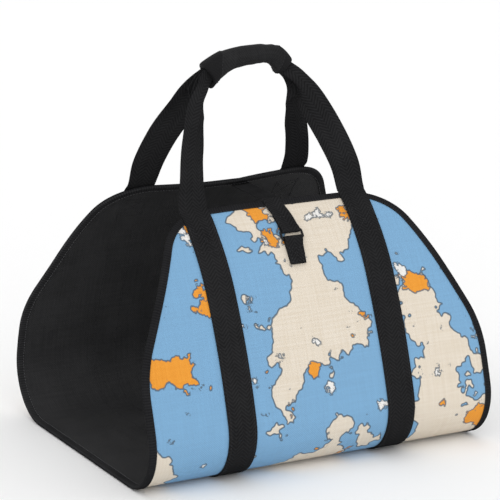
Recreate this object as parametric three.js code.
// Soft log carrier: a canvas trough with open ends, two webbing straps that run under it and rise into
// a joined pair of carrying handles, and a narrow strap that closes the mouth.
// Millimetres, +X along the trough, +Y towards the back panel, +Z up.
// The origin is on the floor, under the middle of the trough.

import * as THREE from 'three';

// Cloth layers. Heights on the sheet are measured outwards from the canvas's outer face.
const GAP = 0.3;
const CANVAS_THICKNESS = 1.2;
const LINING_THICKNESS = 1.0;
const TAPE_THICKNESS = 0.8;
const WEBBING_THICKNESS = 1.6;
const CLOSURE_THICKNESS = 1.5;

// Half of the trough's section, from the middle of the floor to a panel's top edge.
// Each run bends evenly through its turn, in degrees.
const SECTION = [
  { run: 'floor', length: 129.7, turn: 0, steps: 1 },
  { run: 'bottom corner', length: 106.7, turn: 104.4, steps: 12 },
  { run: 'lower side', length: 146.5, turn: 10.9, steps: 8 },
  { run: 'upper side', length: 110.9, turn: 27.2, steps: 8 },
];
const PANEL = SECTION.reduce((total, row) => total + row.length, 0);

// Cut outline of the sheet: a straight end, an easing arc, a slanted side and a rounded top corner.
const HALF_LENGTH = 225;
const END_STRAIGHT = 275;
const SLANT = THREE.MathUtils.degToRad(24.4);
const EASE_RADIUS = 148;
const CORNER_RADIUS = 77.5;
const EASE_STEPS = 6;
const SLANT_STEPS = 8;
const CORNER_STEPS = 6;
const BINDING_WIDTH = 8.7;
const BINDING_ROUND = 0.7;

// The back panel's top edge: how far it is pushed out at the sheet's left end, at a place right of the
// middle and at the right end, with an even change between them. The sheet has a column at `right` too.
const BACK_EDGE = { middle: 22, right: 80, push: { left: 5.4, middle: -2.8, end: 14.7 }, depth: 150 };

// The load pushes the back panel's side out, most at the sheet's left end and at one length along it, and
// not at all from BACK_EDGE.middle on.
const BACK_BELLY = { push: 7, along: 255, reach: 125 };

// Webbing straps and handles.
const WEBBING_WIDTH = 36;
const STRAP_LEFT = -108.5;
const STRAP_RIGHT = 100;
const STRAP_SECTION = [-1, -0.22, 0, 0.22, 1];
const BINDING_CLIMB = { from: 42, to: 18 };
const HANDLE_LEAD = 30;
const HANDLE_STEPS = 4;

// The handle from left to right: x, distance out from the middle plane and height of the webbing's
// middle line. Fold and twist are in degrees, and crease is the half width that bends in the fold.
const HANDLE = [
  { place: 'left leg, low', x: -104.8, out: 59, up: 330, fold: 4, crease: 16, twist: 13 },
  { place: 'left leg', x: -94, out: 42.5, up: 365, fold: 10, crease: 14, twist: 14 },
  { place: 'left leg, high', x: -76, out: 23.5, up: 402, fold: 30, crease: 10, twist: 18 },
  { place: 'left neck', x: -62, out: 12.5, up: 422, fold: 80, crease: 4, twist: 80 },
  { place: 'wrap, left end', x: -51, out: 3.8, up: 432.5, fold: 90, crease: 2, twist: 90 },
  { place: 'wrap, left', x: -25.5, out: 2.4, up: 446.3, fold: 90, crease: 2, twist: 90 },
  { place: 'wrap, top', x: 4, out: 2.4, up: 450.3, fold: 90, crease: 2, twist: 90 },
  { place: 'wrap, right', x: 27.5, out: 2.4, up: 450, fold: 90, crease: 2, twist: 90 },
  { place: 'wrap, right end', x: 41.5, out: 3.8, up: 435.5, fold: 90, crease: 2, twist: 90 },
  { place: 'right neck', x: 55, out: 12.5, up: 424, fold: 80, crease: 4, twist: 80 },
  { place: 'right leg, high', x: 69.5, out: 27, up: 402, fold: 20, crease: 10, twist: 24 },
  { place: 'right leg', x: 86.2, out: 44, up: 365, fold: 6, crease: 14, twist: 11 },
  { place: 'right leg, low', x: 97, out: 59, up: 330, fold: 3, crease: 16, twist: 6 },
];
const ON_PANEL = { fold: 0, crease: 16, twist: 0 };

// Padded wrap round both handles: half width, half height and squareness of its section, how far its
// middle lies above the webbing's middle line, and the extra thickness from its left end to its right.
const WRAP_OUTSIDE = { halfWidth: 11, halfHeight: 12.2, squareness: 2.3 };
const WRAP_BORE = { halfWidth: 6.6, halfHeight: 10, squareness: 6 };
const WRAP_RISE = 8.6;
const WRAP_SIDES = 20;
const WRAP_INSET = 0.02;
const WRAP_SWELL = [
  { at: 0, extra: 2.2 },
  { at: 0.015, extra: 3.2 },
  { at: 0.14, extra: 1.9 },
  { at: 0.155, extra: 1.1 },
  { at: 0.27, extra: 0.5 },
  { at: 0.4, extra: 0.2 },
  { at: 0.52, extra: 0 },
  { at: 0.64, extra: 0.3 },
  { at: 0.75, extra: 0.6 },
  { at: 0.845, extra: 1 },
  { at: 0.86, extra: 1.5 },
  { at: 0.985, extra: 1.1 },
  { at: 1, extra: 0.2 },
];

// Closure strap, ring and tab. Distances down a panel are measured from its top edge. The strap's end
// is caught under the tape inside the back panel. It crosses the mouth to a loop round the ring's upper bar.
const CLOSURE_WIDTH = 24;
const CLOSURE_X = { back: 26, edge: -7.5, ring: -1.2, tab: -3.2 };
const CLOSURE_END = 10.8;
const CLOSURE_LOOP = { overFrom: 20, underTo: 24 };
const MOUTH = { top: 294, past: 1.2, steps: 8 };
const RING = { down: 50.6, length: 29.6, height: 12.5, bar: 2.4, corner: 3, bevel: 0.5, sides: 4 };
const TAB = { bottom: 87, inner: 85, bottomWidth: 20 };
const LOOP = { clearance: 0.4, ease: 10, easeSteps: 4, turnSteps: 8 };

const COLOURS = {
  canvas: '#84b0d4',
  lining: '#262626',
  tape: '#222223',
  webbing: '#242425',
  wrap: '#2c2c2d',
  ring: '#1d1d1e',
};

// Height of the canvas's outer face above the floor, with the webbing under it.
const FLOOR_LAYER = GAP + WEBBING_THICKNESS;
const LINING_BACK = CANVAS_THICKNESS + GAP + LINING_THICKNESS;

// Mesh helpers

function closedGeometry(positions, triangles) {
  const corner = [new THREE.Vector3(), new THREE.Vector3(), new THREE.Vector3()];
  let volume = 0;
  for (let i = 0; i < triangles.length; i += 3) {
    corner.forEach((point, k) => point.copy(positions[triangles[i + k]]));
    volume += corner[0].dot(corner[1].cross(corner[2]));
  }
  const facing = volume > 0 ? triangles : triangles.toReversed();
  const geometry = new THREE.BufferGeometry().setFromPoints(positions);
  geometry.setIndex(facing);
  geometry.computeVertexNormals();
  return geometry;
}

function quad(triangles, a, b, c, d) {
  triangles.push(a, b, c, a, c, d);
}

// A strip or sheet of cloth, from rows of points on its middle surface.
function clothGeometry(rows, thickness) {
  const rowCount = rows.length;
  const columnCount = rows[0].length;
  const faces = { outer: [], inner: [] };
  for (let i = 0; i < rowCount; i += 1) {
    for (let j = 0; j < columnCount; j += 1) {
      const along = rows[Math.min(i + 1, rowCount - 1)][j].clone().sub(rows[Math.max(i - 1, 0)][j]);
      const across = rows[i][Math.min(j + 1, columnCount - 1)].clone().sub(rows[i][Math.max(j - 1, 0)]);
      const normal = along.cross(across).normalize();
      faces.outer.push(rows[i][j].clone().addScaledVector(normal, thickness / 2));
      faces.inner.push(rows[i][j].clone().addScaledVector(normal, -thickness / 2));
    }
  }
  const outer = (i, j) => i * columnCount + j;
  const inner = (i, j) => outer(i, j) + rowCount * columnCount;
  const triangles = [];
  for (let i = 0; i + 1 < rowCount; i += 1) {
    for (let j = 0; j + 1 < columnCount; j += 1) {
      quad(triangles, outer(i, j), outer(i + 1, j), outer(i + 1, j + 1), outer(i, j + 1));
      quad(triangles, inner(i, j), inner(i, j + 1), inner(i + 1, j + 1), inner(i + 1, j));
    }
    const last = columnCount - 1;
    quad(triangles, outer(i, 0), inner(i, 0), inner(i + 1, 0), outer(i + 1, 0));
    quad(triangles, outer(i, last), outer(i + 1, last), inner(i + 1, last), inner(i, last));
  }
  for (let j = 0; j + 1 < columnCount; j += 1) {
    const last = rowCount - 1;
    quad(triangles, outer(0, j), outer(0, j + 1), inner(0, j + 1), inner(0, j));
    quad(triangles, outer(last, j), inner(last, j), inner(last, j + 1), outer(last, j + 1));
  }
  return closedGeometry([...faces.outer, ...faces.inner], triangles);
}

// A closed ring of equal outlines, each joined to the next and the last to the first.
function ringGeometry(outlines) {
  const size = outlines[0].length;
  const triangles = [];
  outlines.forEach((_, i) => {
    const here = i * size;
    const next = ((i + 1) % outlines.length) * size;
    for (let j = 0; j < size; j += 1) {
      const turn = (j + 1) % size;
      quad(triangles, here + j, next + j, next + turn, here + turn);
    }
  });
  return closedGeometry(outlines.flat(), triangles);
}

function piece(name, geometry, colour, roughness) {
  const material = new THREE.MeshStandardMaterial({ color: colour, roughness, metalness: 0 });
  const mesh = new THREE.Mesh(geometry, material);
  mesh.name = name;
  return mesh;
}

// The sheet: places on the flat cut, bent along the section

// Place and heading on the half section at a length from the middle of the floor.
function sectionAt(length) {
  const place = { out: 0, up: 0, heading: 0 };
  const go = (run, turn) => {
    const chord = turn > 0 ? (2 * run * Math.sin(turn / 2)) / turn : run;
    place.out += chord * Math.cos(place.heading + turn / 2);
    place.up += chord * Math.sin(place.heading + turn / 2);
    place.heading += turn;
  };
  let left = length;
  for (const row of SECTION) {
    const run = Math.min(left, row.length);
    go(run, (THREE.MathUtils.degToRad(row.turn) * run) / row.length);
    left -= run;
  }
  go(left, 0);
  return place;
}

function backEdgePush(x, along) {
  const reach = Math.max(0, (along - PANEL) / BACK_EDGE.depth + 1);
  const { middle, push } = BACK_EDGE;
  const pushHere = x < middle
    ? THREE.MathUtils.mapLinear(x, -HALF_LENGTH, middle, push.left, push.middle)
    : THREE.MathUtils.mapLinear(x, middle, HALF_LENGTH, push.middle, push.end);
  return pushHere * reach ** 2;
}

function backBelly(x, along) {
  const { push, along: widest, reach } = BACK_BELLY;
  const { middle } = BACK_EDGE;
  const away = THREE.MathUtils.clamp((along - widest) / reach, -1, 1);
  const pushHere = THREE.MathUtils.mapLinear(Math.min(x, middle), middle, -HALF_LENGTH, 0, push);
  return pushHere * Math.cos((away * Math.PI) / 2) ** 2;
}

// A point on the bent sheet: along is negative on the front half, and height is outwards.
function onSheet(x, along, height) {
  const side = along < 0 ? -1 : 1;
  const place = sectionAt(Math.abs(along));
  const rise = height + backEdgePush(x, along) + backBelly(x, along);
  const out = place.out + rise * Math.sin(place.heading);
  return new THREE.Vector3(x, side * out, FLOOR_LAYER + place.up - rise * Math.cos(place.heading));
}

// Lengths along the half section at which cloth that follows it is bent.
function sectionStops() {
  const stops = [0];
  for (const row of SECTION) {
    const start = stops.at(-1);
    for (let k = 1; k <= row.steps; k += 1) stops.push(start + (row.length * k) / row.steps);
  }
  return stops;
}

// One quarter of the cut outline, from the middle of an end to the top edge. Facing is the angle of
// the outward direction, from 0 on the end to a right angle on the top edge.
function quarterOutline() {
  const points = sectionStops()
    .filter((stop) => stop < END_STRAIGHT)
    .map((stop) => ({ x: HALF_LENGTH, along: stop, facing: 0 }));
  const arc = (x, along, radius, from, to, steps) => {
    for (let k = 0; k <= steps; k += 1) {
      const facing = THREE.MathUtils.lerp(from, to, k / steps);
      points.push({ x: x + radius * Math.cos(facing), along: along + radius * Math.sin(facing), facing });
    }
  };
  arc(HALF_LENGTH - EASE_RADIUS, END_STRAIGHT, EASE_RADIUS, 0, SLANT, EASE_STEPS);
  const start = points.at(-1);
  const climb = PANEL - CORNER_RADIUS * (1 - Math.sin(SLANT)) - start.along;
  const inward = climb * Math.tan(SLANT);
  for (let k = 1; k < SLANT_STEPS; k += 1) {
    const part = k / SLANT_STEPS;
    points.push({ x: start.x - inward * part, along: start.along + climb * part, facing: SLANT });
  }
  const cornerX = start.x - inward - CORNER_RADIUS * Math.cos(SLANT);
  arc(cornerX, PANEL - CORNER_RADIUS, CORNER_RADIUS, SLANT, Math.PI / 2, CORNER_STEPS);
  return points;
}

function sheetGeometry(middleHeight, thickness) {
  const inset = TAPE_THICKNESS + GAP;
  const rowAt = (point, side) => {
    const reach = point.x - inset * Math.cos(point.facing);
    const along = side * (point.along - inset * Math.sin(point.facing));
    return [-reach, BACK_EDGE.middle, BACK_EDGE.right, reach].map((x) => onSheet(x, along, middleHeight));
  };
  const quarter = quarterOutline();
  const front = quarter.slice(1).reverse().map((point) => rowAt(point, -1));
  const back = quarter.map((point) => rowAt(point, 1));
  return clothGeometry([...front, ...back], thickness);
}

function bindingGeometry() {
  const quarter = quarterOutline();
  const topEdge = [{ x: BACK_EDGE.middle, along: PANEL, facing: Math.PI / 2 }];
  const sign = (point, x, along) => ({ ...point, signX: x, signAlong: along });
  const backHalf = [
    ...quarter.map((point) => sign(point, 1, 1)),
    ...topEdge.map((point) => sign(point, 1, 1)),
    ...quarter.toReversed().map((point) => sign(point, -1, 1)),
  ];
  const frontHalf = backHalf.slice(1, -1).reverse().map((point) => sign(point, point.signX, -1));
  const outside = GAP + TAPE_THICKNESS;
  const inside = -(LINING_BACK + outside);
  const outline = [
    { inset: BINDING_ROUND, height: outside },
    { inset: BINDING_WIDTH, height: outside },
    { inset: BINDING_WIDTH, height: GAP },
    { inset: TAPE_THICKNESS, height: GAP },
    { inset: TAPE_THICKNESS, height: inside + TAPE_THICKNESS },
    { inset: BINDING_WIDTH, height: inside + TAPE_THICKNESS },
    { inset: BINDING_WIDTH, height: inside },
    { inset: BINDING_ROUND, height: inside },
    { inset: 0, height: inside + BINDING_ROUND },
    { inset: 0, height: outside - BINDING_ROUND },
  ];
  const rings = [...backHalf, ...frontHalf].map((point) =>
    outline.map(({ inset, height }) => {
      const x = point.signX * (point.x - inset * Math.cos(point.facing));
      const along = point.signAlong * (point.along - inset * Math.sin(point.facing));
      return onSheet(x, along, height);
    }),
  );
  return ringGeometry(rings);
}

// Webbing straps and handles

// Middle height of a strap on a panel: flat on the canvas, then up over the binding near the edge.
function strapHeight(down, thickness) {
  const climb = 1 - THREE.MathUtils.smoothstep(down, BINDING_CLIMB.to, BINDING_CLIMB.from);
  return GAP + thickness / 2 + climb * (TAPE_THICKNESS + GAP);
}

function handleCurve(side) {
  const height = strapHeight(0, WEBBING_THICKNESS);
  const lead = (x) => [PANEL - HANDLE_LEAD, PANEL].map((along) => onSheet(x, side * along, height));
  const arch = HANDLE.map((row) => new THREE.Vector3(row.x, side * row.out, row.up));
  const points = [...lead(STRAP_LEFT), ...arch, ...lead(STRAP_RIGHT).reverse()];
  return new THREE.CatmullRomCurve3(points, false, 'catmullrom', 0.5);
}

// Points across the webbing at a place on the handle. It twists about its length, and both halves fold
// back from its middle line.
function handleRow(curve, side, position) {
  const columns = [ON_PANEL, ON_PANEL, ...HANDLE, ON_PANEL, ON_PANEL];
  const before = Math.floor(position);
  const part = THREE.MathUtils.smoothstep(position - before, 0, 1);
  const value = (column) => THREE.MathUtils.lerp(columns[before][column], columns[before + 1][column], part);
  const fold = THREE.MathUtils.degToRad(value('fold'));
  const twist = THREE.MathUtils.degToRad(value('twist'));
  const crease = value('crease');

  const share = position / (columns.length - 1);
  const centre = curve.getPoint(share);
  const along = curve.getTangent(share);
  const out = new THREE.Vector3(0, side, 0).projectOnPlane(along).normalize();
  const inward = along.clone().cross(out).multiplyScalar(-side);
  const across = inward.clone().multiplyScalar(Math.cos(twist)).addScaledVector(out, -Math.sin(twist));
  const face = out.clone().multiplyScalar(Math.cos(twist)).addScaledVector(inward, Math.sin(twist));

  return STRAP_SECTION.map((place) => {
    const width = (Math.abs(place) * WEBBING_WIDTH) / 2;
    const round = Math.min(width, crease);
    const tilt = (fold * round) / crease;
    const radius = crease / fold;
    const sideways = radius * Math.sin(tilt) + (width - round) * Math.cos(tilt);
    const depth = radius * (1 - Math.cos(tilt)) + (width - round) * Math.sin(tilt);
    return centre.clone()
      .addScaledVector(across, Math.sign(place) * sideways)
      .addScaledVector(face, -depth);
  });
}

// A whole strap, from the middle of the floor up one end of a panel, along the handle and down again.
function strapGeometry(side) {
  const stops = sectionStops();
  stops[0] = GAP / 2;
  const panelRow = (x, inward, along) =>
    STRAP_SECTION.map((place) => {
      const height = strapHeight(PANEL - along, WEBBING_THICKNESS);
      return onSheet(x + (inward * place * WEBBING_WIDTH) / 2, side * along, height);
    });
  const left = stops.map((along) => panelRow(STRAP_LEFT, 1, along));
  const right = stops.toReversed().map((along) => panelRow(STRAP_RIGHT, -1, along));
  const curve = handleCurve(side);
  const handle = [];
  const segments = HANDLE.length + 1;
  for (let k = 1; k < segments * HANDLE_STEPS; k += 1) {
    handle.push(handleRow(curve, side, 1 + k / HANDLE_STEPS));
  }
  return clothGeometry([...left, ...handle, ...right], WEBBING_THICKNESS);
}

// The padded wrap is an oval tube that follows both handles.
function wrapGeometry() {
  const curve = handleCurve(1);
  const lead = 2;
  const first = lead + HANDLE.findIndex((row) => row.place === 'wrap, left end');
  const last = lead + HANDLE.findIndex((row) => row.place === 'wrap, right end');
  const points = HANDLE.length + 2 * lead;
  const back = new THREE.Vector3(0, 1, 0);
  const frames = WRAP_SWELL.map(({ at, extra }) => {
    const part = THREE.MathUtils.lerp(WRAP_INSET, 1 - WRAP_INSET, at);
    const share = THREE.MathUtils.lerp(first, last, part) / (points - 1);
    const along = curve.getTangent(share).setY(0).normalize();
    const up = along.clone().cross(back);
    const centre = curve.getPoint(share).setY(0).addScaledVector(up, WRAP_RISE);
    return { centre, up, extra };
  });
  const oval = ({ centre, up }, shape, extra, angle) => {
    const bend = (value) => Math.sign(value) * Math.abs(value) ** (2 / shape.squareness);
    return centre.clone()
      .addScaledVector(back, (shape.halfWidth + extra) * bend(Math.cos(angle)))
      .addScaledVector(up, (shape.halfHeight + extra) * bend(Math.sin(angle)));
  };
  const outlines = [];
  for (let k = 0; k < WRAP_SIDES; k += 1) {
    const angle = (2 * Math.PI * k) / WRAP_SIDES;
    const outside = frames.map((frame) => oval(frame, WRAP_OUTSIDE, frame.extra, angle));
    const bore = frames.map((frame) => oval(frame, WRAP_BORE, 0, angle));
    outlines.push([...outside, ...bore.reverse()]);
  }
  return ringGeometry(outlines);
}

// Closure strap, ring and tab

// Loops of webbing go round the ring's bars, with an inner layer on the panel and an outer one over it.
const LOOP_RADIUS = RING.bar / 2 + LOOP.clearance + CLOSURE_THICKNESS / 2;
const UNDER_HEIGHT = GAP + CLOSURE_THICKNESS / 2;
const OVER_HEIGHT = UNDER_HEIGHT + CLOSURE_THICKNESS + GAP;
const RING_HEIGHT = UNDER_HEIGHT + LOOP_RADIUS;
const BAR_REACH = (RING.height - RING.bar) / 2;

// Side view of a webbing end looped round a bar: down the panel and height, from the outer layer, round
// the bar and back along the inner layer. Direction is 1 where the loop points down the panel.
function loopRoute(bar, direction, outerEnd, innerEnd) {
  const route = [{ down: outerEnd, height: OVER_HEIGHT }];
  for (let k = 0; k < LOOP.easeSteps; k += 1) {
    const part = k / LOOP.easeSteps;
    const lift = THREE.MathUtils.smoothstep(part, 0, 1) * (RING_HEIGHT + LOOP_RADIUS - OVER_HEIGHT);
    route.push({ down: bar - direction * LOOP.ease * (1 - part), height: OVER_HEIGHT + lift });
  }
  for (let k = 0; k <= LOOP.turnSteps; k += 1) {
    const angle = (Math.PI * k) / LOOP.turnSteps;
    const down = bar + direction * LOOP_RADIUS * Math.sin(angle);
    route.push({ down, height: RING_HEIGHT + LOOP_RADIUS * Math.cos(angle) });
  }
  route.push({ down: (bar + innerEnd) / 2, height: UNDER_HEIGHT });
  route.push({ down: innerEnd, height: UNDER_HEIGHT });
  return route;
}

function closureGeometry() {
  const ends = [-CLOSURE_WIDTH / 2, CLOSURE_WIDTH / 2];
  const rows = [];
  const over = strapHeight(0, CLOSURE_THICKNESS);
  const [leftEdge, rightEdge] = ends.map((end) => {
    const back = onSheet(CLOSURE_X.back + end, PANEL - CLOSURE_END, -(LINING_BACK + GAP + UNDER_HEIGHT));
    const front = onSheet(CLOSURE_X.edge + end, -(PANEL + MOUTH.past), over);
    const middle = back.clone().lerp(front, 0.5).setY(0).setZ(MOUTH.top);
    return new THREE.CatmullRomCurve3([back, middle, front]).getPoints(MOUTH.steps);
  });
  leftEdge.forEach((point, k) => rows.push([point, rightEdge[k]]));
  const { overFrom, underTo } = CLOSURE_LOOP;
  rows.push(ends.map((end) => onSheet(CLOSURE_X.edge + end, -(PANEL - overFrom / 2), over)));
  for (const { down, height } of loopRoute(RING.down - BAR_REACH, 1, overFrom, underTo)) {
    const drift = THREE.MathUtils.smoothstep(down, 0, RING.down - LOOP.ease);
    const x = THREE.MathUtils.lerp(CLOSURE_X.edge, CLOSURE_X.ring, drift);
    rows.push(ends.map((end) => onSheet(x + end, -(PANEL - down), height)));
  }
  return clothGeometry(rows, CLOSURE_THICKNESS);
}

function tabGeometry() {
  const bar = RING.down + BAR_REACH;
  const rows = loopRoute(bar, -1, TAB.bottom, TAB.inner).map(({ down, height }) => {
    const part = Math.max(0, (down - bar) / (TAB.bottom - bar));
    const half = THREE.MathUtils.lerp(CLOSURE_WIDTH, TAB.bottomWidth, part) / 2;
    const x = THREE.MathUtils.lerp(CLOSURE_X.ring, CLOSURE_X.tab, part);
    return [-half, half].map((place) => onSheet(x + place, -(PANEL - down), height));
  });
  return clothGeometry(rows, CLOSURE_THICKNESS);
}

function roundedRectangle(path, length, height, radius) {
  const x = length / 2 - radius;
  const y = height / 2 - radius;
  path.absarc(x, y, radius, 0, Math.PI / 2);
  path.absarc(-x, y, radius, Math.PI / 2, Math.PI);
  path.absarc(-x, -y, radius, Math.PI, 1.5 * Math.PI);
  path.absarc(x, -y, radius, 1.5 * Math.PI, 2 * Math.PI);
  return path;
}

function buckleRing() {
  const { length, height, bar, corner, bevel, sides } = RING;
  const shape = roundedRectangle(new THREE.Shape(), length - 2 * bevel, height - 2 * bevel, corner - bevel);
  const wall = 2 * (bar - bevel);
  const windowCorner = corner - bar + 2 * bevel;
  shape.holes.push(roundedRectangle(new THREE.Path(), length - wall, height - wall, windowCorner));
  const geometry = new THREE.ExtrudeGeometry(shape, {
    depth: bar - 2 * bevel,
    bevelThickness: bevel,
    bevelSize: bevel,
    bevelSegments: 1,
    curveSegments: sides,
  });
  geometry.translate(0, 0, bevel - bar / 2);
  const ring = piece('buckle_ring', geometry, COLOURS.ring, 0.45);
  const along = -(PANEL - RING.down);
  const upPanel = onSheet(0, along - 1, 0).sub(onSheet(0, along, 0));
  const outward = onSheet(0, along, 1).sub(onSheet(0, along, 0));
  const sideways = upPanel.clone().cross(outward);
  ring.quaternion.setFromRotationMatrix(new THREE.Matrix4().makeBasis(sideways, upPanel, outward));
  ring.position.copy(onSheet(CLOSURE_X.ring, along, RING_HEIGHT));
  return ring;
}

// Assembly

const canvasMiddle = -CANVAS_THICKNESS / 2;
const liningMiddle = -(LINING_BACK - LINING_THICKNESS / 2);

const logCarrier = new THREE.Group();
logCarrier.add(
  piece('canvas_shell', sheetGeometry(canvasMiddle, CANVAS_THICKNESS), COLOURS.canvas, 0.8),
  piece('lining', sheetGeometry(liningMiddle, LINING_THICKNESS), COLOURS.lining, 0.85),
  piece('edge_binding', bindingGeometry(), COLOURS.tape, 0.85),
  piece('front_strap', strapGeometry(-1), COLOURS.webbing, 0.85),
  piece('back_strap', strapGeometry(1), COLOURS.webbing, 0.85),
  piece('grip_wrap', wrapGeometry(), COLOURS.wrap, 0.8),
  piece('closure_strap', closureGeometry(), COLOURS.webbing, 0.85),
  buckleRing(),
  piece('buckle_tab', tabGeometry(), COLOURS.webbing, 0.85),
);

export default logCarrier;
